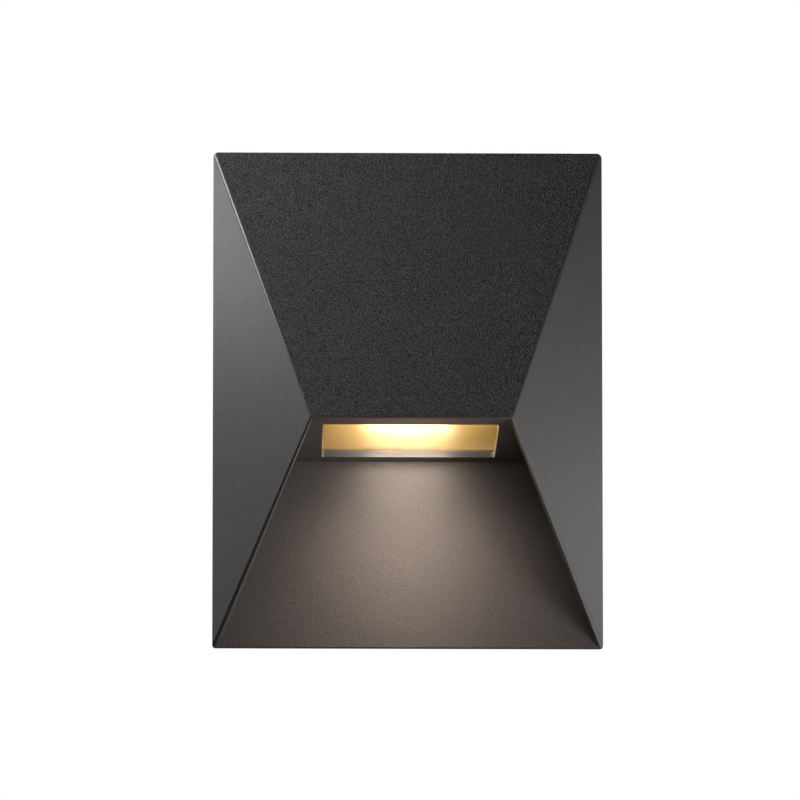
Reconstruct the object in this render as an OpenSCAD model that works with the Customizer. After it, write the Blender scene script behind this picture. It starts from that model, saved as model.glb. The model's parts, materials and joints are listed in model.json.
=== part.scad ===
// Outdoor wall light with a wedge-shaped cast front, lit through an opening in its underside.
// X runs to the right and Z up. The front faces -Y and the wall is the plane y = 0.
// A depth is a distance forward from the wall, so a point at depth d has y = -d.

/* [Housing] */
// Width of the housing
body_w = 150; // [146:1:158]
// Height of the housing
body_h = 194; // [190:1:204]
// Depth from the wall to the nose
body_d = 92; // [90:1:98]
// Length of the level ridge at the nose
nose_w = 77; // [76:1:82]
// Height from the underside of the light panel to the top
panel_drop = 121.5; // [119:0.5:126]
// Depth of the straight rim, and thickness of the lower plate
rim_d = 3; // [2.6:0.1:3.4]
// Radius of the two top corners, seen from the front
top_corner_r = 2; // [1:0.1:3]
// Radius of the two bottom corners, seen from the front
low_corner_r = 1.3; // [0.8:0.1:2]
// Radius of the ridges between the outer faces
ridge_r = 0.7; // [0.4:0.1:0.8]
// Width of a wing's free edge at the nose, seen from the front
wing_edge_nose = 1; // [0.9:0.1:1.4]
// Width of a wing's free edge at the bottom, seen from the front
wing_edge_low = 1.9; // [1.6:0.1:2.4]

/* [Housing walls] */
// Thickness of a wing at the wall, measured across the width
wing_root_t = 6.5; // [6:0.1:7]
// Thickness of a wing at the nose, measured across the width
wing_nose_t = 3.6; // [3:0.1:3.8]
// Thickness of the sloping top
roof_t = 3.2; // [2.6:0.1:3.6]
// Thickness of the light panel
panel_t = 2; // [1.6:0.1:2.4]
// Wall left beside the recess for the wall plate
recess_side_t = 3.75; // [3.2:0.05:4]
// Wall left above the recess for the wall plate
recess_top_t = 5.5; // [5:0.1:7]
// Width of the ledge that presses on the wall gasket
ledge_w = 3.25; // [3:0.05:3.6]
// Thickness of the ribs of the hanging saddle
saddle_t = 2; // [1.6:0.1:2.4]

/* [Light opening] */
// Distance from the nose to the front edge of the opening
opening_front = 12.65; // [12.5:0.05:16]
// Distance from the lower plate to the back edge of the opening
opening_back = 9.75; // [9.5:0.05:10.5]
// Corner radius of the opening
opening_r = 1.5; // [1:0.1:3]
// How far the pane lies over the panel round the opening
pane_lap = 3.6; // [3:0.1:3.7]
// Play between the front corners of the pane and the wings
pane_side = 1.4; // [1:0.1:3]
// Thickness of the glass pane
pane_t = 2.5; // [2:0.1:3]
// Thickness of the seal under the pane
pane_seal_t = 1; // [0.8:0.1:1.2]
// Thickness of a pane clip
clip_t = 1; // [0.8:0.1:1.2]
// Width of a pane clip
clip_w = 6.4; // [6:0.1:7]
// Distance from the edge of the pane to the screw of a clip
clip_offset = 4.9; // [4.4:0.1:5]
// Places of the clips along each side of the pane, as shares of its depth
clip_places = [0.25, 0.63];

/* [Wall plate] */
// Thickness of the wall plate
plate_t = 2; // [1.6:0.1:2.2]
// Corner radius of the wall plate
plate_corner_r = 2.5; // [2:0.1:4]
// Play between the edge of the plate and its recess
plate_play = 0.5; // [0.4:0.05:0.8]
// Thickness of the wall gasket
seal_t = 2; // [1.6:0.1:2.4]
// Distance of each wall slot's middle from the side of the housing
slot_side = 19; // [18:0.5:21]
// Height of the cable inlet above the wall slots
slot_drop = 16; // [15.5:0.5:17]
// Half the width of a wall slot
slot_r = 2.5; // [2:0.1:3]
// Length of a wall slot from end to end
slot_len = 12; // [10:0.5:14]
// Inner radius of the bends in the plate
bend_r = 1; // [0.8:0.1:1.5]
// Width of a fixing tab
tab_w = 12; // [11:0.5:13]
// Depth that a fixing tab reaches to
tab_reach = 20; // [18.5:0.5:21]
// Height of the tabs above the underside of the light panel
tab_rise = 7; // [7:0.1:8]
// Width of the hanging tongue
tongue_w = 24; // [20:1:28]
// Depth that the hanging tongue reaches to
tongue_reach = 15; // [13:0.5:15.5]
// Distance of the tongue below the top of the recess
tongue_drop = 21.5; // [20.5:0.5:22]

/* [Fixing screws] */
// Distance of each fixing screw from the side of the housing
fix_side = 21; // [20.5:0.1:21.5]
// Depth of the fixing screws
fix_depth = 13; // [12.5:0.1:13.5]
// Radius of a fixing screw's thread
fix_r = 2; // [1.5:0.1:2.2]
// Radius of a fixing screw's head
fix_head_r = 4; // [3.5:0.1:4.2]
// Height of a fixing screw's head
fix_head_h = 2.6; // [2:0.1:3]
// Thickness of a sealing washer
fix_washer_t = 1; // [0.8:0.1:1.2]
// Radius of a screw boss on the light panel
fix_boss_r = 4.5; // [4.2:0.1:4.6]

/* [Cable inlet and earth] */
// Distance of the cable inlet from the left side of the housing
inlet_side = 27; // [26:0.5:29]
// Distance of the cable inlet below the terminal block
inlet_drop = 14; // [13.5:0.5:14.5]
// Radius of the cable's way through the grommet
inlet_r = 4.5; // [4:0.1:5]
// Radius of the grommet's hole in the plate
grommet_hole_r = 8; // [7.4:0.1:8.2]
// Distance of the earth stud from the left side of the housing
stud_side = 15; // [14.5:0.5:16]
// Distance of the earth stud below the top of the recess
stud_drop = 35.5; // [34:0.5:37]
// Radius of the earth stud's thread
stud_r = 2; // [1.8:0.1:2.2]

/* [Terminal block] */
// Spacing of the three poles
pole_pitch = 10; // [9.5:0.1:10.2]
// Distance of the block's top below the top of the recess
block_drop = 25.5; // [24.5:0.5:26.5]
// Height of the block
block_h = 16; // [15:0.5:17]
// Depth of the block's foot in front of the plate
block_foot_t = 6; // [5.5:0.1:6.5]
// Depth of the whole block in front of the plate
block_t = 12; // [11:0.5:12.5]
// Radius of the internal wires
wire_r = 1.1; // [0.9:0.05:1.2]

/* [Lamp and holder] */
// Play between the lamp's bracket and the sloping top
roof_play = 1.6; // [0.6:0.1:2.4]
// Radius of the lamp's envelope
lamp_r = 8; // [7:0.1:8.2]
// Height of the lamp's foot
foot_h = 6; // [5:0.5:6.5]
// Distance between the lamp's two pins
pin_span = 9; // [8.8:0.1:9.2]
// Length of the lamp's pins
pin_len = 9; // [8:0.5:9]
// Radius of the pin wire
pin_r = 0.4; // [0.3:0.05:0.45]
// How far the lamp pulls out of its holder
lamp_travel = 9.5; // [9.5:0.1:10]
// Width of the lampholder
holder_w = 27; // [25.5:0.5:28]
// Depth of the lampholder from back to front
holder_d = 14; // [13:0.5:14.5]
// Height of the lampholder
holder_h = 18; // [17:0.5:19]
// Distance of the lampholder's top below the tongue
holder_drop = 18.7; // [18:0.1:20]
// Distance between the lampholder's two screws
holder_screw_span = 19; // [18.6:0.1:19.4]
// Thickness of the bracket's steel
bracket_t = 1.5; // [1.2:0.1:1.8]
// Width of the bracket
bracket_w = 26; // [24:0.5:27]

/* [Reflector] */
// Depth of the reflector's back in front of the plate
reflector_gap = 6; // [5.6:0.1:6.2]
// Thickness of the reflector sheet
reflector_t = 0.8; // [0.6:0.1:1]
// Distance from a fixing tab to the edge of the reflector's flat back
reflector_side = 10; // [9.8:0.1:13]
// Depth of the reflector's side flaps
flap_d = 9; // [7:0.5:9.5]
// Distance of the reflector's top edge below the lampholder
reflector_drop = 9.3; // [9:0.1:13]

/* [Hidden] */
$fn = 48;

coat_black = [0.13, 0.13, 0.135];
zinc_grey = [0.72, 0.73, 0.74];
gold = [0.83, 0.66, 0.33];

// Clearances
part_gap = 0.3;
screw_play = 0.25;
seat_play = 0.05;
over = 1;

// Heights of the housing
top_z = body_h / 2;
base_z = -body_h / 2;
panel_z = top_z - panel_drop;
pocket_h = panel_z - base_z;
panel_top = panel_z + panel_t;
pane_z = panel_top + pane_seal_t;
pane_top = pane_z + pane_t;

// Centre lines of the rounded ridges, as [depth, z], and the slope of the top between them
roof_slope = atan2(top_z - panel_z, body_d - rim_d);
rim_c = [rim_d - ridge_r * tan(roof_slope / 2), top_z - ridge_r];
nose_c = [body_d - ridge_r, panel_z + ridge_r];
roof_run = nose_c[0] - rim_c[0];
roof_drop = rim_c[1] - nose_c[1];
roof_n = [roof_drop, roof_run] / norm([roof_run, roof_drop]);
roof_in = ridge_r - roof_t;

// Height of the top's face at a depth, and depth at a height, off away from the ridge centres
function roof_z(d, off) =
    rim_c[1] + off * roof_n[1] - (d - rim_c[0] - off * roof_n[0]) * roof_drop / roof_run;
function roof_d(z, off) =
    rim_c[0] + off * roof_n[0] + (rim_c[1] + off * roof_n[1] - z) * roof_run / roof_drop;

// Half the width between the wings' inner faces at a depth
wing_root_x = body_w / 2 - wing_root_t;
wing_nose_x = nose_w / 2 - wing_nose_t;
function wing_x(d) =
    wing_root_x - (d - rim_d) * (wing_root_x - wing_nose_x) / (body_d - rim_d);

// Half the width of the pocket at a height, between the wings' free edges seen from the front
edge_from = [nose_w / 2 - ridge_r, panel_z + ridge_r];
edge_to = [body_w / 2 - low_corner_r, base_z + low_corner_r];
edge_run = (edge_to - edge_from) / norm(edge_to - edge_from);
edge_in = [edge_run[1], -edge_run[0]];
cut_from = edge_from + (wing_edge_nose - ridge_r) * edge_in;
cut_to = edge_to + (wing_edge_low - low_corner_r) * edge_in;
function cut_x(z) =
    cut_from[0] + (z - cut_from[1]) * (cut_to[0] - cut_from[0]) / (cut_to[1] - cut_from[1]);

// Recess for the wall plate, and the ledge round the lamp compartment
recess_d = plate_t + seal_t + part_gap;
recess_x = body_w / 2 - recess_side_t;
recess_top = top_z - recess_top_t;
compartment_top = recess_top - ledge_w;
opening_back_d = rim_d + opening_back;
opening_front_d = body_d - opening_front;
pane_back_d = opening_back_d - pane_lap;
pane_front_d = opening_front_d + pane_lap;
pane_x = wing_x(pane_front_d) - pane_side;
opening_w = 2 * (pane_x - pane_lap);
sill_d = pane_back_d - part_gap;
sill_top = panel_top + 3;

// Wall plate
plate_x = recess_x - plate_play;
plate_low = panel_top + plate_play;
plate_high = recess_top - plate_play;
tab_z = panel_z + tab_rise;
tab_top = tab_z + plate_t;
tongue_z = recess_top - tongue_drop;
tongue_top = tongue_z + plate_t;
seal_w = ledge_w - part_gap;
seal_low_w = sill_top - plate_low - plate_play;

// Fixings
fix_x = body_w / 2 - fix_side;
clip_x = pane_x + clip_offset;
clip_depths = [for (place = clip_places) pane_back_d + place * (pane_front_d - pane_back_d)];
m3_r = 1.5;
m3_head_r = 2.75;
m3_head_h = 1.8;
fix_nut_h = 3.2;
nut_flats = 3.5;
fix_nut_z = tab_top + part_gap;
fix_tip_z = fix_nut_z + fix_nut_h + 1;
fix_head_z = panel_z - fix_washer_t;

// Terminal block, cable inlet, wall slots and earth stud
block_top = recess_top - block_drop;
block_z = block_top - block_h;
inlet_x = body_w / 2 - inlet_side;
inlet_z = block_z - inlet_drop;
inlet_len = 9;
slot_x = body_w / 2 - slot_side;
slot_z = inlet_z - slot_drop;
grommet_flange_r = grommet_hole_r + 2;
stud_x = body_w / 2 - stud_side;
stud_z = recess_top - stud_drop;
stud_len = 11;
stud_head_t = 1;
stud_head_r = stud_r + 1.4;
lug_t = 0.8;
lug_ring_r = stud_r + 2.2;
lug_barrel_r = wire_r + 0.7;
lug_barrel_len = 8;
lug_depth = plate_t + lug_barrel_r;
lug_top = stud_z + lug_ring_r + lug_barrel_len;
washer_t = 0.8;
block_x = (stud_x - lug_ring_r + bracket_w / 2) / 2;
pole_depth = plate_t + block_foot_t - 0.5;
sleeve_r = wire_r + 1.1;
sleeve_wall = 0.7;
clamp_r = 1.25;
clamp_head_r = 1.7;
clamp_heights = [block_h / 4, block_h * 3 / 4];
function pole_x(i) = -block_x + (i - 1) * pole_pitch;

// Lamp, holder and bracket
lamp_tip_z = pane_top + lamp_travel + 0.5;
holder_top = tongue_z - holder_drop;
holder_z = holder_top - holder_h;
pin_z = holder_z - part_gap;
foot_z = pin_z - foot_h;
foot_flange_h = 2;
pin_loop_r = 1.6;
holder_thread = 8;
socket_w = 2;
socket_d = 5;
socket_h = pin_len + 1.5;
lead_x = 7;
lead_z = holder_z + holder_h * 0.48;
bracket_top = holder_top + bracket_t;
bracket_reach = roof_d(bracket_top, roof_in) - roof_play;
bracket_lip = 1;
lamp_depth = bracket_reach - bracket_lip - holder_d / 2;
holder_back_d = lamp_depth - holder_d / 2;
bracket_leg_top = tongue_z - bend_r - 2;
rivet_z = bracket_top + (bracket_leg_top - bracket_top) * 0.6;
rivet_x = bracket_w / 4;
rivet_r = 1.6;
rivet_head_r = 3;

// Reflector
reflector_d = plate_t + reflector_gap;
reflector_low = pane_top + part_gap;
reflector_top = holder_z - reflector_drop;
reflector_w = 2 * (fix_x - tab_w / 2 - reflector_side);
standoff_x = reflector_w / 2 - 8;
standoff_z = reflector_top - 10;
standoff_bore = 5;
standoff_r = 3.2;

// Routes of the internal wires, as [x, depth, z]
wire_start = block_top - 5;
earth_route = [
    [pole_x(0), pole_depth, wire_start], [pole_x(0), pole_depth, block_top],
    [pole_x(0) - 0.5, pole_depth, block_top + 6], [pole_x(0) - 4, pole_depth - 1, block_top + 11],
    [-stud_x + 4, lug_depth + 1, block_top + 12], [-stud_x, lug_depth, lug_top + 5],
    [-stud_x, lug_depth, lug_top], [-stud_x, lug_depth, lug_top - 6]
];
live_route = [
    [pole_x(1), pole_depth, wire_start], [pole_x(1), pole_depth, block_top],
    [pole_x(1), pole_depth, block_top + 5], [pole_x(1) + 5, pole_depth + 0.5, block_top + 10],
    [pole_x(2) + 3, pole_depth + 1, block_top + 9], [pole_x(2) + 7, pole_depth + 1, block_top],
    [-bracket_w / 2 - 3.5, pole_depth + 1, bracket_top], [-bracket_w / 2, 9.5, lead_z + 3.5],
    [-lead_x - 1.5, 11, lead_z + 0.5], [-lead_x, holder_back_d, lead_z],
    [-lead_x, holder_back_d + 2.5, lead_z]
];
neutral_route = [
    [pole_x(2), pole_depth, wire_start], [pole_x(2), pole_depth, block_top],
    [pole_x(2) + 0.5, pole_depth - 0.5, block_top + 4], [pole_x(2) + 4, 6, block_top + 6],
    [pole_x(2) + 8, 5, block_top + 2], [-bracket_w / 2 - 2.8, 4.6, bracket_top + 3],
    [-bracket_w / 2 + 1, 5, lead_z + 4], [-3, 6.5, lead_z - 1.5],
    [4, 9, lead_z - 1.5], [lead_x - 0.3, 12, lead_z],
    [lead_x, holder_back_d, lead_z], [lead_x, holder_back_d + 2.5, lead_z]
];

// A drawing in x and z, given a thickness that starts at a depth
module from_front(depth, thick) {
    translate([0, -depth, 0]) rotate([90, 0, 0]) linear_extrude(thick) children();
}

// A drawing in x and depth, given a height that starts at z
module from_above(z, high) {
    translate([0, 0, z]) mirror([0, 1, 0]) linear_extrude(high) children();
}

// A drawing in depth and z, given a width that is centred on x = 0
module from_side(wide) {
    rotate([0, 0, -90]) rotate([90, 0, 0]) linear_extrude(wide, center = true) children();
}

// A round bar that starts at a depth and runs forward
module rod(x, z, depth, len, r) {
    translate([x, -depth, z]) rotate([90, 0, 0]) cylinder(r = r, h = len);
}

// An upright round bar at a depth
module post(x, depth, z, len, r) {
    translate([x, -depth, z]) cylinder(r = r, h = len);
}

// A rectangle between two corners
module block2d(low, high) {
    translate(low) square(high - low);
}

// A rectangle between two corners, with round corners
module round2d(low, high, r) {
    block2d(low + [r, 0], high - [r, 0]);
    block2d(low + [0, r], high - [0, r]);
    for (x = [low[0] + r, high[0] - r], y = [low[1] + r, high[1] - r]) {
        translate([x, y]) circle(r = r);
    }
}

// A slot along the first axis of the drawing, centred on a point
module slot2d(centre, len, r) {
    block2d(centre - [len / 2 - r, r], centre + [len / 2 - r, r]);
    for (side = [-1, 1]) {
        translate(centre + [side * (len / 2 - r), 0]) circle(r = r);
    }
}

// A strip of sheet bent forward from the wall plate, drawn in depth and z
module bent_strip(start, thick, z_under, reach, up) {
    r = bend_r;
    mirror([0, up ? 0 : 1]) translate([start, up ? z_under : -z_under - thick]) {
        translate([thick + r, -r]) intersection() {
            difference() {
                circle(r = r + thick);
                circle(r = r);
            }
            block2d([-r - thick, 0], [0, r + thick]);
        }
        block2d([thick + r, 0], [reach - start, thick]);
        block2d([0, -r - 0.5], [thick, -r]);
    }
}

// Unit vector along v
function unit(v) = v / norm(v);

// A point between b and c on a smooth curve through a, b, c and d
function curve_point(a, b, c, d, t) =
    0.5 * (2 * b + (c - a) * t + (2 * a - 5 * b + 4 * c - d) * t * t
        + (3 * b - a - 3 * c + d) * t * t * t);
function curve(p, steps) = concat(
    [for (i = [0 : len(p) - 2], k = [0 : steps - 1])
        curve_point(p[max(i - 1, 0)], p[i], p[i + 1], p[min(i + 2, len(p) - 1)], k / steps)],
    [p[len(p) - 1]]
);
function along(c, i) = unit(c[min(i + 1, len(c) - 1)] - c[max(i - 1, 0)]);
function square_to(v, t) = unit(v - (v * t) * t);
function side_vectors(c, i, v) =
    let (s = square_to(v, along(c, i)))
    i == len(c) - 1 ? [s] : concat([s], side_vectors(c, i + 1, s));

// A wire swept along a route of [x, depth, z] points
module wire(route, r) {
    sides = 8;
    c = curve([for (p = route) [p[0], -p[1], p[2]]], 3);
    s = side_vectors(c, 0, [0, 1, 0.1]);
    rings = len(c);
    points = [for (i = [0 : rings - 1], k = [0 : sides - 1])
        c[i] + r * (cos(k * 360 / sides) * s[i] + sin(k * 360 / sides) * cross(along(c, i), s[i]))];
    tube_faces = [for (i = [0 : rings - 2], k = [0 : sides - 1])
        let (n = (k + 1) % sides)
        [i * sides + k, (i + 1) * sides + k, (i + 1) * sides + n, i * sides + n]];
    ends = [[for (k = [0 : sides - 1]) k], [for (k = [sides - 1 : -1 : 0]) (rings - 1) * sides + k]];
    polyhedron(points = points, faces = concat(tube_faces, ends), convexity = 4);
}

// A corner of the straight rim: a bar of radius r with a rounded front edge
module rim_corner(r) {
    edge_r = min(ridge_r, r / 2);
    rotate([90, 0, 0]) rotate_extrude($fn = 32) translate([r - edge_r, 0]) circle(r = edge_r);
    rotate([-90, 0, 0]) cylinder(r = r, h = rim_c[0], $fn = 32);
}

// Wedge between the rim and the nose, with every ridge rounded
module wedge() {
    hull() {
        for (side = [-1, 1]) {
            translate([side * (body_w / 2 - top_corner_r), -rim_c[0], top_z - top_corner_r])
                rim_corner(top_corner_r);
            translate([side * (body_w / 2 - low_corner_r), -rim_c[0], base_z + low_corner_r])
                rim_corner(low_corner_r);
            translate([side * (nose_w / 2 - ridge_r), -nose_c[0], nose_c[1]])
                rotate([90, 0, 0]) sphere(r = ridge_r, $fn = 32);
        }
    }
}

// Space cut away below the light panel: straight through between the wings' edges,
// and wider behind them, up to the wings' inner faces
module pocket() {
    from_front(rim_d, body_d) polygon([
        [-cut_x(panel_z), panel_z], [cut_x(panel_z), panel_z],
        [cut_x(base_z - over), base_z - over], [-cut_x(base_z - over), base_z - over]
    ]);
    from_above(base_z - over, pocket_h + over) polygon([
        [-wing_root_x, rim_d], [wing_root_x, rim_d],
        [wing_x(body_d + over), body_d + over], [-wing_x(body_d + over), body_d + over]
    ]);
}

// Lamp compartment above the light panel, open to the wall behind the ledge
module compartment() {
    back = recess_d - over;
    intersection() {
        from_above(panel_top - over, body_h) polygon([
            [-wing_x(recess_d), back], [wing_x(recess_d), back], [wing_x(recess_d), recess_d],
            [wing_nose_x, body_d], [-wing_nose_x, body_d], [-wing_x(recess_d), recess_d]
        ]);
        from_side(body_w) polygon([
            [back, sill_top], [sill_d, sill_top], [sill_d, panel_top],
            [roof_d(panel_top, roof_in), panel_top],
            [roof_d(compartment_top, roof_in), compartment_top], [back, compartment_top]
        ]);
    }
}

// Two ribs and a cross web under the top, which hang the housing on the plate's tongue
module saddle() {
    inner_x = tongue_w / 2 + part_gap;
    reach = tongue_reach + 1;
    anchor = -roof_t / 2 + ridge_r;
    foot = tongue_z - 2;
    peak = compartment_top + 1;
    for (side = [-1, 1]) {
        translate([side * (inner_x + saddle_t / 2), 0, 0]) from_side(saddle_t) polygon([
            [recess_d, foot], [reach, foot], [reach, roof_z(reach, anchor)],
            [roof_d(peak, anchor), peak], [recess_d, peak]
        ]);
    }
    web = inner_x + saddle_t / 2;
    from_front(recess_d, reach - recess_d)
        block2d([-web, tongue_top + part_gap], [web, tongue_top + part_gap + saddle_t]);
}

module front_housing() {
    color(coat_black) difference() {
        union() {
            difference() {
                wedge();
                pocket();
                from_front(-over, recess_d + over)
                    round2d([-recess_x, panel_top], [recess_x, recess_top], plate_corner_r);
                compartment();
            }
            saddle();
            for (side = [-1, 1]) {
                post(side * fix_x, fix_depth, panel_top - over, tab_z - part_gap - panel_top + over,
                    fix_boss_r);
                for (d = clip_depths) {
                    post(side * clip_x, d, panel_top - over, pane_top - panel_top + over, clip_w / 2);
                }
            }
        }
        from_above(panel_z - over, panel_t + 2 * over)
            round2d([-opening_w / 2, opening_back_d], [opening_w / 2, opening_front_d], opening_r);
        for (side = [-1, 1]) {
            post(side * fix_x, fix_depth, panel_z - over, tab_rise + over, fix_r + screw_play);
            for (d = clip_depths) {
                post(side * clip_x, d, panel_top, pane_top - panel_top + over, m3_r + seat_play);
            }
        }
    }
}

module lens_gasket() {
    color([0.75, 0.74, 0.7]) from_above(panel_top, pane_seal_t) difference() {
        block2d([-pane_x, pane_back_d], [pane_x, pane_front_d]);
        round2d([-opening_w / 2 - 0.5, opening_back_d - 0.5],
            [opening_w / 2 + 0.5, opening_front_d + 0.5], opening_r);
    }
}

module lens_glass() {
    color([0.85, 0.92, 0.9, 0.4]) from_above(pane_z, pane_t)
        block2d([-pane_x, pane_back_d], [pane_x, pane_front_d]);
}

module lens_clips() {
    r = clip_w / 2;
    color(zinc_grey) for (side = [-1, 1], d = clip_depths) {
        from_above(pane_top, clip_t) difference() {
            union() {
                block2d([min(side * clip_x, side * (pane_x - 2.4)), d - r],
                    [max(side * clip_x, side * (pane_x - 2.4)), d + r]);
                translate([side * clip_x, d]) circle(r = r);
            }
            translate([side * clip_x, d]) circle(r = m3_r + screw_play);
        }
    }
}

// A pan-headed cross-recess screw, upright, with its head's seat at z = 0 and its thread below
module pan_screw(r, len, head_r, head_h) {
    difference() {
        union() {
            translate([0, 0, -len]) cylinder(r = r, h = len);
            cylinder(r = head_r, h = head_h * 0.6);
            translate([0, 0, head_h * 0.6]) cylinder(r1 = head_r, r2 = head_r * 0.75, h = head_h * 0.4);
        }
        for (turn = [0, 90]) {
            rotate(turn) translate([-head_r * 0.55, -head_r * 0.09, head_h * 0.45])
                cube([head_r * 1.1, head_r * 0.18, head_h]);
        }
    }
}

module lens_clip_screws() {
    color(zinc_grey) for (side = [-1, 1], d = clip_depths) {
        translate([side * clip_x, -d, pane_top + clip_t])
            pan_screw(m3_r, clip_t + pane_top - panel_top - 0.5, m3_head_r, m3_head_h);
    }
}

module fixing_screws() {
    color([0.2, 0.2, 0.2]) for (side = [-1, 1]) {
        translate([side * fix_x, -fix_depth, fix_head_z]) rotate([180, 0, 0])
            pan_screw(fix_r, fix_tip_z - fix_head_z, fix_head_r, fix_head_h);
    }
}

module fixing_washers() {
    color([0.15, 0.15, 0.15]) for (side = [-1, 1]) {
        difference() {
            post(side * fix_x, fix_depth, fix_head_z, fix_washer_t, fix_boss_r);
            post(side * fix_x, fix_depth, fix_head_z - over, fix_washer_t + 2 * over,
                fix_r + seat_play);
        }
    }
}

// A hexagon nut, upright, on z = 0
module hex_nut(bore_r, high) {
    difference() {
        cylinder(r = nut_flats / cos(30), h = high, $fn = 6);
        translate([0, 0, -over]) cylinder(r = bore_r, h = high + 2 * over);
    }
}

module fixing_nuts() {
    color(zinc_grey) for (side = [-1, 1]) {
        translate([side * fix_x, -fix_depth, fix_nut_z]) hex_nut(fix_r + seat_play, fix_nut_h);
    }
}

// Flat length of a tab or tongue, which leaves a window of the same size in the plate
function flat_len(reach) = reach - plate_t - bend_r + 1.571 * (bend_r + plate_t / 2);

module wall_plate() {
    color(zinc_grey) difference() {
        union() {
            from_front(0, plate_t) difference() {
                round2d([-plate_x, plate_low], [plate_x, plate_high], plate_corner_r);
                for (side = [-1, 1]) {
                    slot2d([side * slot_x, slot_z], slot_len, slot_r);
                    block2d([side * fix_x - tab_w / 2, tab_z - bend_r],
                        [side * fix_x + tab_w / 2, tab_z - bend_r + flat_len(tab_reach)]);
                    translate([side * standoff_x, standoff_z]) circle(r = m3_r + seat_play);
                }
                block2d([-tongue_w / 2, tongue_z - bend_r],
                    [tongue_w / 2, tongue_z - bend_r + flat_len(tongue_reach)]);
                translate([-inlet_x, inlet_z]) circle(r = grommet_hole_r);
                translate([pole_x(1) + pole_pitch / 2, block_z + block_h / 2])
                    circle(r = m3_r + seat_play);
            }
            for (side = [-1, 1]) {
                translate([side * fix_x, 0, 0]) from_side(tab_w)
                    bent_strip(0, plate_t, tab_z, tab_reach, true);
            }
            from_side(tongue_w) bent_strip(0, plate_t, tongue_z, tongue_reach, true);
        }
        // Each tab's slot is open to the front, so that the housing comes off on loose screws
        for (side = [-1, 1]) {
            post(side * fix_x, fix_depth, tab_z - over, plate_t + 2 * over, fix_r + part_gap);
            from_above(tab_z - over, plate_t + 2 * over)
                block2d([side * fix_x - fix_r - part_gap, fix_depth],
                    [side * fix_x + fix_r + part_gap, tab_reach + over]);
            rod(side * rivet_x, rivet_z, -over, plate_t + 2 * over, rivet_r + seat_play);
            rod(side * rivet_x, rivet_z, -over, over + 1, rivet_head_r + seat_play);
        }
        rod(-stud_x, stud_z, -over, plate_t + 2 * over, stud_r + seat_play);
        rod(-stud_x, stud_z, -over, over + stud_head_t, stud_head_r + seat_play);
    }
}

module wall_gasket() {
    color([0.1, 0.1, 0.1]) from_front(plate_t, seal_t) difference() {
        round2d([-plate_x, plate_low], [plate_x, plate_high], plate_corner_r);
        block2d([-plate_x + seal_w, plate_low + seal_low_w], [plate_x - seal_w, plate_high - seal_w]);
    }
}

module cable_grommet() {
    color([0.12, 0.12, 0.12]) translate([-inlet_x, 0, inlet_z]) rotate([90, 0, 0])
        rotate_extrude() polygon([
            [inlet_r, 0], [grommet_hole_r - seat_play, 0], [grommet_hole_r - seat_play, plate_t],
            [grommet_flange_r, plate_t], [grommet_flange_r, plate_t + 1.2],
            [grommet_flange_r - 0.8, plate_t + 2], [inlet_r + 2.2, plate_t + 2],
            [inlet_r + 1, inlet_len], [inlet_r, inlet_len]
        ]);
}

module terminal_block() {
    half = pole_pitch * 1.5 + 0.5;
    tower = pole_pitch * 0.8;
    color([0.93, 0.92, 0.88]) difference() {
        union() {
            from_front(plate_t, block_foot_t)
                round2d([-block_x - half, block_z], [-block_x + half, block_top], 1);
            for (i = [0 : 2]) {
                from_front(plate_t, block_t)
                    round2d([pole_x(i) - tower / 2, block_z + 0.5], [pole_x(i) + tower / 2, block_top - 0.5], 1.2);
            }
        }
        for (i = [0 : 2]) {
            post(pole_x(i), pole_depth, block_z - over, block_h + 2 * over, sleeve_r + seat_play);
            for (h = clamp_heights) {
                rod(pole_x(i), block_z + h, pole_depth, block_t, clamp_head_r + 0.15);
            }
        }
        rod(pole_x(1) + pole_pitch / 2, block_z + block_h / 2, 0, block_t, m3_r + seat_play);
        rod(pole_x(1) + pole_pitch / 2, block_z + block_h / 2, plate_t + block_foot_t, block_t,
            m3_head_r + 0.15);
    }
}

module terminal_sleeves() {
    color([0.78, 0.65, 0.35]) for (i = [0 : 2]) {
        difference() {
            post(pole_x(i), pole_depth, block_z + over, block_h - 2 * over, sleeve_r);
            post(pole_x(i), pole_depth, block_z, block_h, sleeve_r - sleeve_wall);
            for (h = clamp_heights) {
                rod(pole_x(i), block_z + h, pole_depth, block_t, clamp_r + seat_play);
            }
        }
    }
}

module terminal_screws() {
    tip = pole_depth + wire_r + seat_play;
    seat = plate_t + block_t - 3;
    color(zinc_grey) for (i = [0 : 2], h = clamp_heights) {
        difference() {
            union() {
                rod(pole_x(i), block_z + h, tip, seat - tip, clamp_r);
                rod(pole_x(i), block_z + h, seat, 2, clamp_head_r);
            }
            from_front(seat + 1, 2) block2d([pole_x(i) - clamp_head_r * 2, block_z + h - 0.25],
                [pole_x(i) + clamp_head_r * 2, block_z + h + 0.25]);
        }
    }
}

module block_screw() {
    color(zinc_grey) translate([pole_x(1) + pole_pitch / 2, -plate_t - block_foot_t,
        block_z + block_h / 2]) rotate([90, 0, 0])
        pan_screw(m3_r, block_foot_t + plate_t - 0.2, m3_head_r, m3_head_h);
}

module earth_stud() {
    color([0.78, 0.65, 0.35]) {
        rod(-stud_x, stud_z, 0, stud_head_t, stud_head_r);
        rod(-stud_x, stud_z, stud_head_t, stud_len - stud_head_t, stud_r);
    }
}

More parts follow.
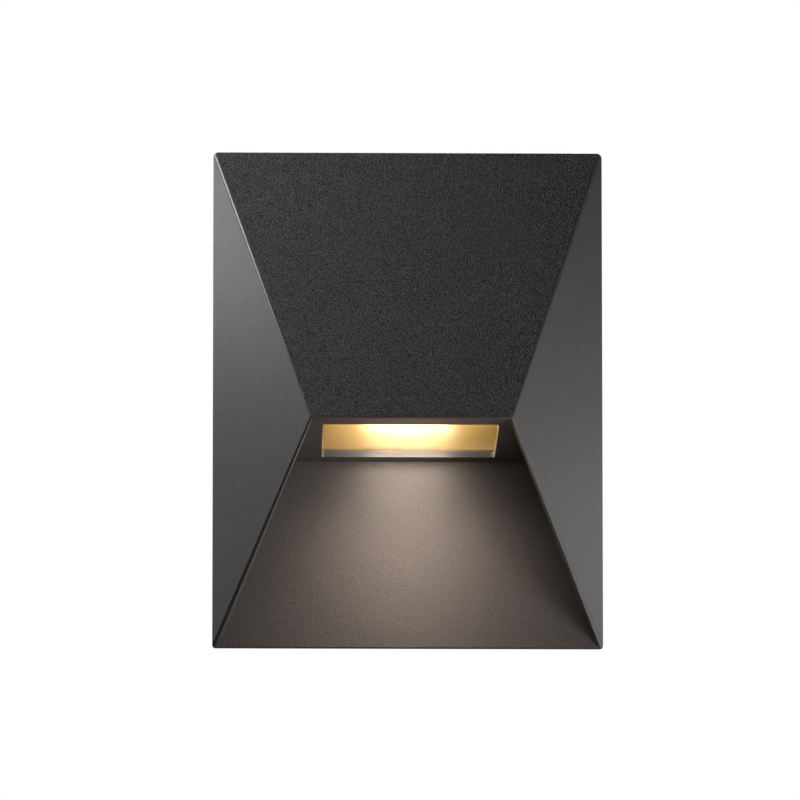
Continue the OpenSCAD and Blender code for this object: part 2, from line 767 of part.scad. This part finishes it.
module earth_lug() {
    color([0.75, 0.72, 0.66]) difference() {
        union() {
            from_front(plate_t, lug_t) {
                translate([-stud_x, stud_z]) circle(r = lug_ring_r);
                block2d([-stud_x - lug_barrel_r, stud_z + stud_r],
                    [-stud_x + lug_barrel_r, stud_z + lug_ring_r + 1]);
            }
            post(-stud_x, lug_depth, stud_z + lug_ring_r, lug_barrel_len, lug_barrel_r);
        }
        rod(-stud_x, stud_z, 0, stud_len, stud_r + seat_play);
        post(-stud_x, lug_depth, stud_z + lug_ring_r + 1, lug_barrel_len, wire_r + seat_play);
    }
}

module earth_washer() {
    color(zinc_grey) from_front(plate_t + lug_t, washer_t) difference() {
        translate([-stud_x, stud_z]) circle(r = lug_ring_r - 0.2);
        translate([-stud_x, stud_z]) circle(r = stud_r + seat_play);
        // Teeth round the edge bite into the lug
        for (k = [0 : 11]) {
            translate([-stud_x, stud_z]) rotate(k * 30)
                block2d([lug_ring_r - 0.9, -0.25], [lug_ring_r + 1, 0.25]);
        }
    }
}

module earth_nut() {
    color([0.78, 0.65, 0.35]) translate([-stud_x, -plate_t - lug_t - washer_t, stud_z])
        rotate([90, 0, 0]) hex_nut(stud_r + seat_play, fix_nut_h);
}

module earth_wire() {
    color([0.35, 0.62, 0.2]) wire(earth_route, wire_r);
}

module live_wire() {
    color([0.42, 0.22, 0.12]) wire(live_route, wire_r);
}

module neutral_wire() {
    color([0.15, 0.35, 0.7]) wire(neutral_route, wire_r);
}

module holder_bracket() {
    color(zinc_grey) difference() {
        union() {
            from_side(bracket_w) bent_strip(plate_t, bracket_t, holder_top, bracket_reach, false);
            from_front(plate_t, bracket_t) block2d([-bracket_w / 2, bracket_top + bend_r],
                [bracket_w / 2, bracket_leg_top]);
        }
        for (side = [-1, 1]) {
            rod(side * rivet_x, rivet_z, 0, plate_t + bracket_t + over, rivet_r + seat_play);
            post(side * holder_screw_span / 2, lamp_depth, holder_top - over, bracket_t + 2 * over,
                m3_r + screw_play);
        }
    }
}

module bracket_rivets() {
    stack = plate_t + bracket_t;
    color([0.8, 0.8, 0.8]) for (side = [-1, 1]) {
        translate([side * rivet_x, 0, rivet_z]) rotate([90, 0, 0]) {
            cylinder(r = rivet_head_r, h = 1);
            cylinder(r = rivet_r, h = stack);
            translate([0, 0, stack]) cylinder(r1 = rivet_head_r, r2 = rivet_head_r * 0.5, h = 1.2);
        }
    }
}

module lampholder() {
    r = holder_d / 2;
    color([0.95, 0.94, 0.9]) difference() {
        union() {
            from_above(holder_z, holder_h) slot2d([0, lamp_depth], holder_w, r);
            from_above(holder_z + holder_h * 0.3, holder_h * 0.25)
                slot2d([0, lamp_depth], holder_w + 1.2, r + 0.6);
        }
        for (side = [-1, 1]) {
            from_above(holder_z - over, socket_h + over)
                translate([side * pin_span / 2, lamp_depth]) rotate(90)
                slot2d([0, 0], socket_d, socket_w / 2);
            post(side * holder_screw_span / 2, lamp_depth, holder_z - over, holder_h + 2 * over,
                m3_r + seat_play);
            rod(side * lead_x, lead_z, holder_back_d - over, over + 3, wire_r + 0.2);
        }
    }
}

module holder_contacts() {
    inner = pin_span / 2 + pin_r + part_gap;
    outer = pin_span / 2 + socket_w / 2;
    color([0.78, 0.65, 0.35]) for (side = [-1, 1]) {
        from_above(holder_z + over, pin_len)
            block2d([min(side * inner, side * outer), lamp_depth - 1.5],
                [max(side * inner, side * outer), lamp_depth + 1.5]);
    }
}

module holder_screws() {
    color(zinc_grey) for (side = [-1, 1]) {
        translate([side * holder_screw_span / 2, -lamp_depth, bracket_top])
            pan_screw(m3_r, bracket_t + holder_thread, m3_head_r, m3_head_h);
    }
}

// The reflector's flat back and its two flaps, each turned forward by 45 degrees
module reflector() {
    half = reflector_w / 2;
    far = reflector_d + flap_d;
    t = reflector_t;
    lean = t * (sqrt(2) - 1);
    color(gold) difference() {
        from_above(reflector_low, reflector_top - reflector_low) polygon([
            [-half, reflector_d], [half, reflector_d],
            [half + flap_d - t / sqrt(2), far - t / sqrt(2)], [half + flap_d - t * sqrt(2), far],
            [half - lean, reflector_d + t], [-half + lean, reflector_d + t],
            [-half - flap_d + t * sqrt(2), far], [-half - flap_d + t / sqrt(2), far - t / sqrt(2)]
        ]);
        for (side = [-1, 1]) {
            rod(side * standoff_x, standoff_z, plate_t, reflector_gap + flap_d, m3_r + screw_play);
        }
    }
}

module reflector_standoffs() {
    color([0.78, 0.65, 0.35]) for (side = [-1, 1]) {
        difference() {
            union() {
                rod(side * standoff_x, standoff_z, 0, plate_t + over, m3_r);
                translate([side * standoff_x, -plate_t, standoff_z]) rotate([90, 0, 0])
                    cylinder(r = standoff_r, h = reflector_gap, $fn = 6);
            }
            rod(side * standoff_x, standoff_z, reflector_d - standoff_bore, standoff_bore + over,
                m3_r - 0.2);
        }
    }
}

module reflector_screws() {
    color(zinc_grey) for (side = [-1, 1]) {
        translate([side * standoff_x, -reflector_d - reflector_t, standoff_z]) rotate([90, 0, 0])
            pan_screw(m3_r - 0.25, reflector_t + standoff_bore - 0.5, m3_head_r, m3_head_h);
    }
}

// Round-ended tube, open at the foot
module envelope_shape(r, tip, top) {
    translate([0, -lamp_depth, tip + r]) {
        cylinder(r = r, h = top - tip - r);
        sphere(r = r);
    }
}

module bulb_envelope() {
    wall = 1;
    color([0.97, 0.95, 0.88]) difference() {
        envelope_shape(lamp_r, lamp_tip_z, foot_z);
        envelope_shape(lamp_r - wall, lamp_tip_z + wall, foot_z + over);
    }
}

module bulb_base() {
    color([0.93, 0.93, 0.92]) {
        post(0, lamp_depth, foot_z, foot_flange_h, lamp_r);
        from_above(foot_z + foot_flange_h, foot_h - foot_flange_h)
            round2d([-lamp_r + 1, lamp_depth - 4.5], [lamp_r - 1, lamp_depth + 4.5], 2);
    }
}

module bulb_pins() {
    straight = pin_len - pin_loop_r - pin_r;
    color([0.8, 0.8, 0.8]) for (side = [-1, 1]) {
        translate([side * pin_span / 2, -lamp_depth, pin_z]) {
            for (leg = [-1, 1]) {
                translate([0, leg * pin_loop_r, 0]) cylinder(r = pin_r, h = straight, $fn = 16);
            }
            translate([0, 0, straight]) rotate([0, -90, 0]) rotate([0, 0, -90])
                rotate_extrude(angle = 180, $fn = 16) translate([pin_loop_r, 0]) circle(r = pin_r);
        }
    }
}

module led_board() {
    half_w = lamp_r * 0.62;
    low = lamp_tip_z + lamp_r * 0.7;
    rows = 6;
    pitch = (foot_z - low) / (rows + 1);
    color([0.95, 0.9, 0.6]) {
        from_front(lamp_depth - 0.5, 1) block2d([-half_w, low], [half_w, foot_z]);
        for (k = [1 : rows]) {
            from_front(lamp_depth - 1.1, 2.2)
                block2d([-half_w * 0.6, low + (k - 0.25) * pitch], [half_w * 0.6, low + (k + 0.25) * pitch]);
        }
    }
}

front_housing();
lens_gasket();
lens_glass();
lens_clips();
lens_clip_screws();
fixing_screws();
fixing_washers();
fixing_nuts();
wall_plate();
wall_gasket();
cable_grommet();
terminal_block();
terminal_sleeves();
terminal_screws();
block_screw();
earth_stud();
earth_lug();
earth_washer();
earth_nut();
earth_wire();
live_wire();
neutral_wire();
holder_bracket();
bracket_rivets();
lampholder();
holder_contacts();
holder_screws();
reflector();
reflector_standoffs();
reflector_screws();
bulb_envelope();
bulb_base();
bulb_pins();
led_board();
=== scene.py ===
"""Looks of the wedge-shaped outdoor wall light: finishes, eased solids, studio light and camera."""

import json
import math

import bmesh
import bpy
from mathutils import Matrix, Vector


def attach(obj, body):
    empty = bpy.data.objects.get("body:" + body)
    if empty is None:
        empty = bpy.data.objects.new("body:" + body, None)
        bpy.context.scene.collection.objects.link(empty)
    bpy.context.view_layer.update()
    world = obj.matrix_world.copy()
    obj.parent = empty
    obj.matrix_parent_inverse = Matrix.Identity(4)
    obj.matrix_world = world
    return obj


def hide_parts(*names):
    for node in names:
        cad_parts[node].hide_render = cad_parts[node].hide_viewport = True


MM = 0.001
WHITE = (1.0, 1.0, 1.0)

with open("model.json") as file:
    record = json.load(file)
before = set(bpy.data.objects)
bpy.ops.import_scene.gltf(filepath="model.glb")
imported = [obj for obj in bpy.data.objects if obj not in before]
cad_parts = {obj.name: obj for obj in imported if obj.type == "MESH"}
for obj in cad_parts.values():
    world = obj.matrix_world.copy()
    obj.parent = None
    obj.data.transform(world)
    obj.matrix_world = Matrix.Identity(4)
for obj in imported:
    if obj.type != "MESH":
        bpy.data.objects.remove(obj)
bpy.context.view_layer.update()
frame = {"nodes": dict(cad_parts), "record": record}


# Shader maths


class Value:
    """A shader socket that can stand in a Python expression."""

    def __init__(self, finish, socket):
        self.finish = finish
        self.socket = socket

    def maths(self, operation, *others):
        inputs = dict(enumerate((self, *others)))
        return self.finish.node("ShaderNodeMath", {"operation": operation}, inputs)

    def __add__(self, other):
        return self.maths("ADD", other)

    def __mul__(self, other):
        return self.maths("MULTIPLY", other)

    def __sub__(self, other):
        return self.maths("SUBTRACT", other)

    def __rsub__(self, other):
        return (self * -1.0).maths("ADD", other)

    __radd__ = __add__
    __rmul__ = __mul__

    def between(self, low, high):
        """0 below low, 1 above high, and a smooth step between them."""
        return self.finish.node(
            "ShaderNodeMapRange",
            {"interpolation_type": "SMOOTHSTEP"},
            {"Value": self, "From Min": low, "From Max": high},
        )


class Finish:
    """A material on the principled shader, with the nodes that vary it over the surface."""

    def __init__(self, name, **fixed):
        self.material = bpy.data.materials.new(name)
        self.material.use_nodes = True
        self.tree = self.material.node_tree
        self.shader = self.tree.nodes["Principled BSDF"]
        self.output = self.tree.nodes["Material Output"]
        for words, value in fixed.items():
            socket = self.shader.inputs[words.replace("_", " ").title().replace("Ior", "IOR")]
            socket.default_value = (*value, 1.0) if isinstance(value, tuple) else value

    def node(self, kind, settings=None, inputs=None, output=0):
        """Adds a node, with its settings first and then its sockets' values or links."""
        made = self.tree.nodes.new(kind)
        for key, value in (settings or {}).items():
            setattr(made, key, value)
        for key, value in (inputs or {}).items():
            if isinstance(value, Value):
                self.tree.links.new(value.socket, made.inputs[key])
            else:
                made.inputs[key].default_value = value
        return Value(self, made.outputs[output])

    def place(self):
        """The point's place on the object, in metres."""
        return self.node("ShaderNodeTexCoord", output="Object")

    def facing(self):
        """The direction that the surface faces."""
        return self.node("ShaderNodeTexCoord", output="Normal")

    def stretched(self, place, scale):
        return self.node("ShaderNodeVectorMath", {"operation": "MULTIPLY"}, {0: place, 1: scale})

    def axis(self, vector, letter):
        return self.node("ShaderNodeSeparateXYZ", inputs={0: vector}, output=letter)

    def noise(self, place, per_metre, detail, roughness, distortion=0.0):
        return self.node(
            "ShaderNodeTexNoise",
            inputs={
                "Vector": place,
                "Scale": per_metre,
                "Detail": detail,
                "Roughness": roughness,
                "Distortion": distortion,
            },
        )

    def cells(self, place, per_metre):
        return self.node("ShaderNodeTexVoronoi", inputs={"Vector": place, "Scale": per_metre})

    def blend(self, share, colour_a, colour_b):
        """colour_a where share is 0 and colour_b where it is 1."""
        return self.node(
            "ShaderNodeMix",
            {"data_type": "RGBA"},
            {0: share, 6: self.rgba(colour_a), 7: self.rgba(colour_b)},
            output=2,
        )

    @staticmethod
    def rgba(colour):
        return colour if isinstance(colour, Value) else (*colour, 1.0)

    def raised(self, height, depth_mm, strength):
        """A bump whose height 0 to 1 stands for depth_mm."""
        return self.node(
            "ShaderNodeBump",
            inputs={"Height": height, "Distance": depth_mm * MM, "Strength": strength},
        )

    def drive(self, **varied):
        """Links values to the principled shader's sockets of those names."""
        for words, value in varied.items():
            self.tree.links.new(value.socket, self.shader.inputs[words.replace("_", " ").title()])

    def mixed(self, share, other):
        """Shows the other shader where share is 1."""
        mix = self.node("ShaderNodeMixShader", inputs={0: share})
        sockets = mix.socket.node.inputs
        self.tree.links.new(self.shader.outputs[0], sockets[1])
        self.tree.links.new(other.socket, sockets[2])
        self.tree.links.new(mix.socket, self.output.inputs["Surface"])


# Finishes

COARSE_RELIEF = 6.0
RIDGE_ROUGHNESS = 0.27
ENVELOPE_GLOW = 40.0
COLLAR_HEIGHT = 18 * MM
COLLAR_TOP = 28 * MM
BOARD_DEPTH = 22 * MM
BOARD_FACE = 0.55 * MM
EMITTER_FACE = 0.7 * MM
ZINC = (0.70, 0.71, 0.72)
BRASS = (0.80, 0.60, 0.28)


def powder_coat():
    """Black powder coat of small soft grains, with a deeper relief on the face that slopes up.

    On that face the grain colour carries painted shade in its pits and painted highlights on its crests,
    which also leaves that face a little darker overall. It draws out smooth over the two ridges beside that
    face.
    """
    f = Finish("powder_coat", specular_ior_level=0.5)
    place = f.place()
    facing = f.facing()
    upward = f.axis(facing, "Z")
    sideways = f.axis(facing, "X")
    slope = upward.between(0.35, 0.5)
    ridge = upward.between(0.1, 0.2) * (sideways * sideways).between(0.04, 0.12)
    grain = f.noise(place, 1950, 1.0, 0.5)
    fine = f.noise(place, 2900, 1.0, 0.5)
    peel = f.noise(place, 260, 1.0, 0.5)
    height = (grain * 0.7 + fine * 0.2 + peel * 0.25) * (slope * COARSE_RELIEF + 1.0)
    crest = grain.between(0.41, 0.61)
    smooth = f.blend(crest, (0.026, 0.026, 0.027), (0.043, 0.043, 0.045))
    # Painted light and shade: on the sloping face the grain colour runs from near black in the pits, as
    # painted shade, to lighter crests, as painted highlights, standing in for light raking across the grain.
    painted_grain_shade_and_glint = f.blend(crest, (0.001, 0.001, 0.0011), (0.052, 0.052, 0.054))
    roughness = 0.47 + crest * 0.07 + slope * (0.5 - crest) * 0.42
    f.drive(
        base_color=f.blend(ridge, f.blend(slope, smooth, painted_grain_shade_and_glint), (0.06, 0.06, 0.061)),
        roughness=roughness * (1.0 - ridge) + ridge * RIDGE_ROUGHNESS,
        normal=f.raised(height * (1.0 - ridge), 0.17, 0.9),
    )
    return f.material


def clear_pane():
    """Clear glass that lets the light of the lamps through."""
    f = Finish("clear_pane", base_color=(0.96, 0.985, 0.975), roughness=0.0, transmission_weight=1.0, ior=1.5)
    through = f.node("ShaderNodeBsdfTransparent", inputs={"Color": (0.93, 0.95, 0.94, 1.0)})
    lamp_ray = f.node("ShaderNodeLightPath", output="Is Shadow Ray")
    f.mixed(lamp_ray, through)
    return f.material


def rubber(name, colour, roughness):
    """Moulded rubber with a faint cloudy bloom."""
    f = Finish(name, specular_ior_level=0.35)
    place = f.place()
    bloom = f.noise(place, 220, 3.0, 0.6)
    tooth = f.noise(place, 3500, 2.0, 0.5)
    pale = tuple(min(1.0, c * 1.25 + 0.012) for c in colour)
    f.drive(
        base_color=f.blend(bloom.between(0.35, 0.7), colour, pale),
        roughness=roughness + bloom * 0.12,
        normal=f.raised(tooth, 0.02, 0.6),
    )
    return f.material


def zinc_plate():
    """Bright zinc over cold-rolled steel: faint rolling streaks and a mottled passivated film."""
    f = Finish("zinc_plate", metallic=1.0)
    place = f.place()
    streak = f.noise(f.stretched(place, (30.0, 900.0, 900.0)), 1.0, 3.0, 0.6)
    spangle = f.cells(place, 260)
    film = f.noise(place, 45, 2.0, 0.5)
    bluish = (ZINC[0] * 0.96, ZINC[1] * 0.98, ZINC[2] * 1.02)
    dark = tuple(c * 0.86 for c in ZINC)
    tinted = f.blend(film.between(0.35, 0.7), ZINC, bluish)
    f.drive(
        base_color=f.blend(streak.between(0.45, 0.75) * 0.5, tinted, dark),
        roughness=0.3 + streak * 0.14 + spangle * 0.06,
        normal=f.raised(streak, 0.006, 0.5),
    )
    return f.material


def bright_metal(name, colour, roughness):
    """Turned or drawn metal with light handling marks."""
    f = Finish(name, metallic=1.0)
    place = f.place()
    marks = f.noise(place, 600, 4.0, 0.65, 0.4)
    dull = tuple(c * 0.8 for c in colour)
    f.drive(
        base_color=f.blend(marks.between(0.4, 0.8), colour, dull),
        roughness=roughness + marks * 0.14,
        normal=f.raised(marks, 0.004, 0.4),
    )
    return f.material


def gold_sheet():
    """Satin gold anodised sheet, brushed upwards."""
    f = Finish("gold_sheet", metallic=1.0)
    place = f.place()
    brushed = f.noise(f.stretched(place, (2600.0, 2600.0, 40.0)), 1.0, 3.0, 0.55)
    cloud = f.noise(place, 60, 2.0, 0.5)
    f.drive(
        base_color=f.blend(cloud.between(0.3, 0.75), (0.88, 0.57, 0.16), (0.83, 0.50, 0.12)),
        roughness=0.42 + brushed * 0.12,
        normal=f.raised(brushed, 0.004, 0.5),
    )
    return f.material


def moulded(name, colour, roughness):
    """Moulded plastic or ceramic: faint mottling and a fine tooth."""
    f = Finish(name, specular_ior_level=0.5)
    place = f.place()
    mottle = f.noise(place, 140, 3.0, 0.6)
    tooth = f.noise(place, 2400, 2.0, 0.5)
    shade = tuple(c * 0.93 for c in colour)
    f.drive(
        base_color=f.blend(mottle.between(0.35, 0.7), colour, shade),
        roughness=roughness + mottle * 0.1,
        normal=f.raised(tooth, 0.01, 0.5),
    )
    return f.material


def earth_sleeving():
    """Green insulation with a yellow stripe that winds round it."""
    f = Finish("earth_sleeving", roughness=0.42)
    place = f.place()
    twist = f.axis(place, "X") * 380.0 + f.axis(place, "Y") * 900.0 + f.axis(place, "Z") * 240.0
    stripe = twist.maths("SINE").between(0.0, 0.25)
    f.drive(base_color=f.blend(stripe, (0.06, 0.26, 0.05), (0.80, 0.62, 0.04)))
    return f.material


def lit_envelope():
    """Opal lamp envelope, lit warm white from inside and dimmer towards its collar."""
    f = Finish("lit_envelope", base_color=(0.95, 0.93, 0.88), roughness=0.35, emission_strength=ENVELOPE_GLOW)
    height = f.axis(f.place(), "Z")
    collar = height.between(COLLAR_HEIGHT, COLLAR_TOP)
    f.drive(emission_color=f.blend(collar, (1.0, 0.90, 0.76), (0.55, 0.38, 0.2)))
    return f.material


def led_board():
    """White board with yellow phosphor on the faces that stand proud of it."""
    f = Finish("led_board", roughness=0.4)
    depth = f.axis(f.place(), "Y").maths("ABSOLUTE")
    emitter = (depth - BOARD_DEPTH).maths("ABSOLUTE").between(BOARD_FACE, EMITTER_FACE)
    f.drive(base_color=f.blend(emitter, (0.86, 0.86, 0.82), (0.95, 0.72, 0.12)))
    return f.material


finishes = {
    "coating": powder_coat(),
    "pane": clear_pane(),
    "seal_light": rubber("silicone_seal", (0.075, 0.06, 0.045), 0.5),
    "seal_black": rubber("black_foam_rubber", (0.018, 0.018, 0.018), 0.7),
    "zinc": zinc_plate(),
    "black_steel": bright_metal("black_oxide_steel", (0.05, 0.05, 0.052), 0.42),
    "ceramic_white": moulded("white_ceramic", (0.80, 0.78, 0.73), 0.3),
    "block_white": moulded("block_polyamide", (0.78, 0.76, 0.70), 0.45),
    "brass": bright_metal("turned_brass", BRASS, 0.28),
    "tinned": bright_metal("tinned_copper", (0.74, 0.72, 0.68), 0.3),
    "gold_sheet": gold_sheet(),
    "rivet": bright_metal("rivet_aluminium", (0.82, 0.82, 0.83), 0.35),
    "green": earth_sleeving(),
    "brown": moulded("live_sleeving", (0.16, 0.07, 0.03), 0.4),
    "blue": moulded("neutral_sleeving", (0.03, 0.12, 0.40), 0.4),
    "lamp_glass": lit_envelope(),
    "lamp_white": moulded("lamp_collar", (0.82, 0.82, 0.80), 0.35),
    "lamp_wire": bright_metal("lamp_wire", (0.78, 0.78, 0.76), 0.25),
    "lamp_board": led_board(),
}
slot_of = {row["node"]: row["material_slot"] for row in frame["record"]["subparts"]}
bodies = frame["record"]["behaviour"]["bodies"]
body_of = {node: body for body, nodes in bodies.items() for node in nodes}


# Eased solids

MERGE_DISTANCE = 2e-6
FLAT_ANGLE = math.radians(0.4)
SHARP_DEGREES = 28.0
SHADE_ANGLE = math.radians(50)
EASE_STEPS = 2
EASE_MM = {
    "front_housing": 0.25,
    "lens_gasket": 0.15,
    "lens_glass": 0.3,
    "lens_clips": 0.12,
    "lens_clip_screws": 0.08,
    "fixing_screws": 0.12,
    "fixing_washers": 0.12,
    "fixing_nuts": 0.15,
    "wall_plate": 0.2,
    "wall_gasket": 0.3,
    "cable_grommet": 0.25,
    "terminal_block": 0.2,
    "terminal_sleeves": 0.06,
    "terminal_screws": 0.06,
    "block_screw": 0.08,
    "earth_stud": 0.12,
    "earth_lug": 0.1,
    "earth_washer": 0.05,
    "earth_nut": 0.15,
    "holder_bracket": 0.15,
    "bracket_rivets": 0.15,
    "lampholder": 0.35,
    "holder_screws": 0.08,
    "reflector": 0.1,
    "reflector_standoffs": 0.15,
    "reflector_screws": 0.08,
    "bulb_base": 0.3,
}


def is_sharp(edge):
    return len(edge.link_faces) == 2 and math.degrees(edge.calc_face_angle(0.0)) > SHARP_DEGREES


def eased(node, ease_mm):
    """The node's own solid with its sharp edges eased, as casting, moulding or pressing leaves them."""
    solid = frame["nodes"][node]
    shape = bmesh.new()
    shape.from_mesh(solid.data)
    bmesh.ops.remove_doubles(shape, verts=shape.verts, dist=MERGE_DISTANCE)
    bmesh.ops.dissolve_limit(
        shape,
        angle_limit=FLAT_ANGLE,
        verts=shape.verts,
        edges=shape.edges,
        use_dissolve_boundaries=False,
    )
    bmesh.ops.bevel(
        shape,
        geom=[edge for edge in shape.edges if is_sharp(edge)],
        offset=ease_mm * MM,
        offset_type="OFFSET",
        affect="EDGES",
        segments=EASE_STEPS,
        profile=0.5,
        material=-1,
        clamp_overlap=True,
        loop_slide=True,
    )
    bmesh.ops.triangulate(shape, faces=shape.faces)
    mesh = bpy.data.meshes.new(f"{node}_eased")
    shape.to_mesh(mesh)
    shape.free()
    piece = bpy.data.objects.new(f"{node}_eased", mesh)
    bpy.context.collection.objects.link(piece)
    mesh.polygons.foreach_set("use_smooth", [True] * len(mesh.polygons))
    mesh.set_sharp_from_angle(angle=SHADE_ANGLE)
    weighted = piece.modifiers.new("even_faces", "WEIGHTED_NORMAL")
    weighted.keep_sharp = True
    weighted.weight = 100
    piece.data.materials.clear()
    piece.data.materials.append(finishes[slot_of[node]])
    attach(piece, body_of[node])
    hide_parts(node)


for node, ease_mm in EASE_MM.items():
    eased(node, ease_mm)
for node, solid in frame["nodes"].items():
    for slot in solid.material_slots:
        slot.material = finishes[slot_of[node]]


# Stage and light

FLOOR_SIZE = 40.0
FLOOR_HEIGHT = -5.0
WORLD_LEVEL = 0.08
BACKDROP_LEVEL = 1.0
WARM_BELOW = (1.0, 0.84, 0.7)
WARM_FRONT = (1.0, 0.85, 0.73)
COOL_CORE = (0.42, 0.50, 1.0)
LAMP_NEAR = (1.0, 0.80, 0.62)
LAMP_FAR = (1.0, 0.76, 0.6)
PLATE_WARM = (1.0, 0.6, 0.4)


def pale_floor():
    """Pale matt floor that the camera sees as the white of the studio."""
    f = Finish("pale_floor", base_color=(0.86, 0.86, 0.86), roughness=0.8)
    plain = f.node("ShaderNodeEmission", inputs={"Color": (*WHITE, 1.0), "Strength": BACKDROP_LEVEL})
    camera_ray = f.node("ShaderNodeLightPath", output="Is Camera Ray")
    through_glass = f.node("ShaderNodeLightPath", output="Is Transmission Ray")
    f.mixed(camera_ray.maths("MAXIMUM", through_glass), plain)
    return f.material


bpy.ops.mesh.primitive_plane_add(size=FLOOR_SIZE, location=(0.0, 0.0, FLOOR_HEIGHT))
floor = bpy.context.object
floor.name = "pale_floor"
floor.data.materials.append(pale_floor())

world = bpy.data.worlds.new("studio")
bpy.context.scene.world = world
world.use_nodes = True
sky = world.node_tree
sky.nodes.clear()


def backdrop(level):
    """A plain white background of that strength."""
    made = sky.nodes.new("ShaderNodeBackground")
    made.inputs["Color"].default_value = (*WHITE, 1.0)
    made.inputs["Strength"].default_value = level
    return made


surround = backdrop(WORLD_LEVEL)
seen_white = backdrop(BACKDROP_LEVEL)
path = sky.nodes.new("ShaderNodeLightPath")
seen = sky.nodes.new("ShaderNodeMath")
seen.operation = "MAXIMUM"
pick = sky.nodes.new("ShaderNodeMixShader")
result = sky.nodes.new("ShaderNodeOutputWorld")
sky.links.new(path.outputs["Is Camera Ray"], seen.inputs[0])
sky.links.new(path.outputs["Is Transmission Ray"], seen.inputs[1])
sky.links.new(seen.outputs[0], pick.inputs[0])
sky.links.new(surround.outputs[0], pick.inputs[1])
sky.links.new(seen_white.outputs[0], pick.inputs[2])
sky.links.new(pick.outputs[0], result.inputs["Surface"])


def softbox(name, place, aim, width, height, level, colour=WHITE, spread=180.0):
    """A soft rectangular studio light at place, in metres, turned to aim; level 1 is as bright as white."""
    lamp = bpy.data.lights.new(name, "AREA")
    lamp.shape = "RECTANGLE"
    lamp.size = width
    lamp.size_y = height
    lamp.energy = math.pi * width * height * level
    lamp.color = colour
    lamp.spread = math.radians(spread)
    made = bpy.data.objects.new(name, lamp)
    bpy.context.collection.objects.link(made)
    made.location = place
    made.rotation_mode = "QUATERNION"
    made.rotation_quaternion = (Vector(aim) - Vector(place)).to_track_quat("-Z", "Y")
    made.visible_camera = False


# Studio lights: beside the two wings, over the sloping face, and from low on the right and in front.
softbox("left_wing_top", (-0.31, 0.21, 0.147), (-0.06, -0.03, 0.08), 0.2, 0.1, 4.85)
softbox("left_wing_middle", (-0.31, 0.21, 0.067), (-0.06, -0.03, 0.0), 0.2, 0.1, 0.1)
softbox("left_wing_low", (-0.31, 0.21, -0.013), (-0.06, -0.03, -0.08), 0.2, 0.1, 0.76)
softbox("right_wing_middle", (0.3, 0.22, 0.067), (0.06, -0.03, 0.0), 0.2, 0.1, 0.36)
softbox("right_wing_low", (0.3, 0.22, -0.013), (0.06, -0.03, -0.08), 0.2, 0.1, 1.72)
softbox("right_low", (0.5, -0.1, -0.4), (0.06, -0.04, -0.04), 0.25, 0.25, 12.2)
softbox("low_right", (0.6, -0.35, -0.9), (0.0, -0.03, -0.05), 0.4, 0.4, 4.0, WARM_BELOW)
softbox("left_high", (-0.29, -0.01, 0.28), (-0.05, -0.02, 0.09), 0.1, 0.1, 12.6)
softbox("top_left", (-0.12, 0.12, 0.4), (-0.03, -0.03, 0.06), 0.15, 0.1, 5.7)
softbox("front_right", (0.9, -1.3, -0.3), (0.0, -0.04, 0.0), 0.6, 0.6, 10.7, WARM_FRONT)

# The lamp's own light: on the reflector behind it, thrown down on the lit lower plate, and up again.
softbox("lamp_core", (0.0, -0.0155, -0.008), (0.0, -0.0095, -0.0135), 0.034, 0.004, 30.0, COOL_CORE)
softbox("lamp_wide", (0.0, -0.0155, -0.006), (0.0, -0.0095, -0.0115), 0.058, 0.003, 2.5)
softbox("lamp_near", (0.0, -0.024, -0.025), (0.0, -0.003, -0.055), 0.03, 0.012, 23.5, LAMP_NEAR)
softbox("lamp_far", (0.0, -0.072, -0.0275), (0.0, -0.003, -0.09), 0.03, 0.01, 33.3, LAMP_FAR, 80.0)
softbox("plate_glow", (0.0, -0.05, -0.065), (0.0, -0.06, -0.02), 0.03, 0.02, 6.0, PLATE_WARM, 150.0)


# Camera

CAMERA_AIM = Vector((-2.9, 0.0, 0.3)) * MM
CAMERA_AZIMUTH = math.radians(-0.92)
CAMERA_ELEVATION = math.radians(-10.94)
CAMERA_DISTANCE = 5.0
SENSOR_MM = 36.0
IMAGE_WIDTH = 800
FOCAL_LENGTH_IN_PIXELS = 12980
across = math.cos(CAMERA_ELEVATION)
back = Vector(
    (
        math.sin(CAMERA_AZIMUTH) * across,
        -math.cos(CAMERA_AZIMUTH) * across,
        math.sin(CAMERA_ELEVATION),
    )
)
camera = bpy.data.objects.new("camera", bpy.data.cameras.new("camera"))
bpy.context.collection.objects.link(camera)
camera.data.sensor_width = SENSOR_MM
camera.data.lens = FOCAL_LENGTH_IN_PIXELS * SENSOR_MM / IMAGE_WIDTH
camera.location = CAMERA_AIM + back * CAMERA_DISTANCE
camera.rotation_mode = "QUATERNION"
camera.rotation_quaternion = (-back).to_track_quat("-Z", "Y")
camera.data.clip_start = 0.1
camera.data.clip_end = 50.0
bpy.context.scene.camera = camera
bpy.context.scene.view_settings.view_transform = "Standard"
